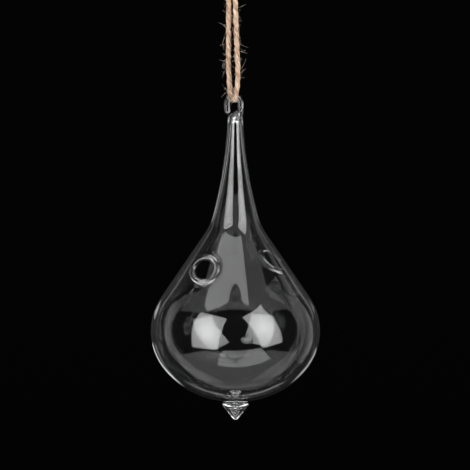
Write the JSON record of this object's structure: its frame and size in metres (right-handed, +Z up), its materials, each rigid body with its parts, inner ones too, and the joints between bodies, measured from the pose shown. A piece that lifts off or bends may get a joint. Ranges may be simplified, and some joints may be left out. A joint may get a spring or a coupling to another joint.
{
  "type": "hanging propagation vase",
  "caption": "Clear glass drop-shaped vase for rooting cuttings, with a drawn neck, glass eye, pointed base and side mouths with thick lips, hung on a jute twine loop.",
  "frame": {"origin": "the hang point: inside of the twine loop's top, where a nail or hook bears", "axes": "+Z up along the hanging line, -Y towards the viewer of the picture, +X to the viewer's right"},
  "size_m": [0.0854, 0.0854, 0.2501],
  "materials": {
    "clear_glass": "fire-polished, colourless",
    "jute_twine": "natural three-ply jute, slightly hairy"
  },
  "bodies": {
    "hanger": {"hanging_loop": "jute_twine"},
    "knot": {"twine_knot": "jute_twine", "twine_tail_left": "jute_twine", "twine_tail_right": "jute_twine"},
    "legs": {"twine_leg_left": "jute_twine", "twine_leg_right": "jute_twine", "eye_bight": "jute_twine"},
    "vase": {"bulb_shell": "clear_glass", "neck_tube": "clear_glass", "hanging_eye": "clear_glass", "bottom_finial": "clear_glass", "front_mouth_lip": "clear_glass", "rear_mouth_lip": "clear_glass"}
  },
  "joints": [
    {"name": "cord_sway", "type": "hinge", "parent": "hanger", "child": "knot", "pos_m": [0.00015, 0, -0.0244], "axis": [0, 1, 0], "range_deg": [-35, 35]},
    {"name": "cord_twist", "type": "hinge", "parent": "knot", "child": "legs", "pos_m": [0.0019, 0, -0.0289], "axis": [0, 0, 1], "range_deg": [-150, 150], "stiffness_Nm_per_rad": 0.0001},
    {"name": "vase_swing", "type": "hinge", "parent": "legs", "child": "vase", "pos_m": [0.00115, 0, -0.0849], "axis": [1, 0, 0], "range_deg": [-60, 60]}
  ]
}
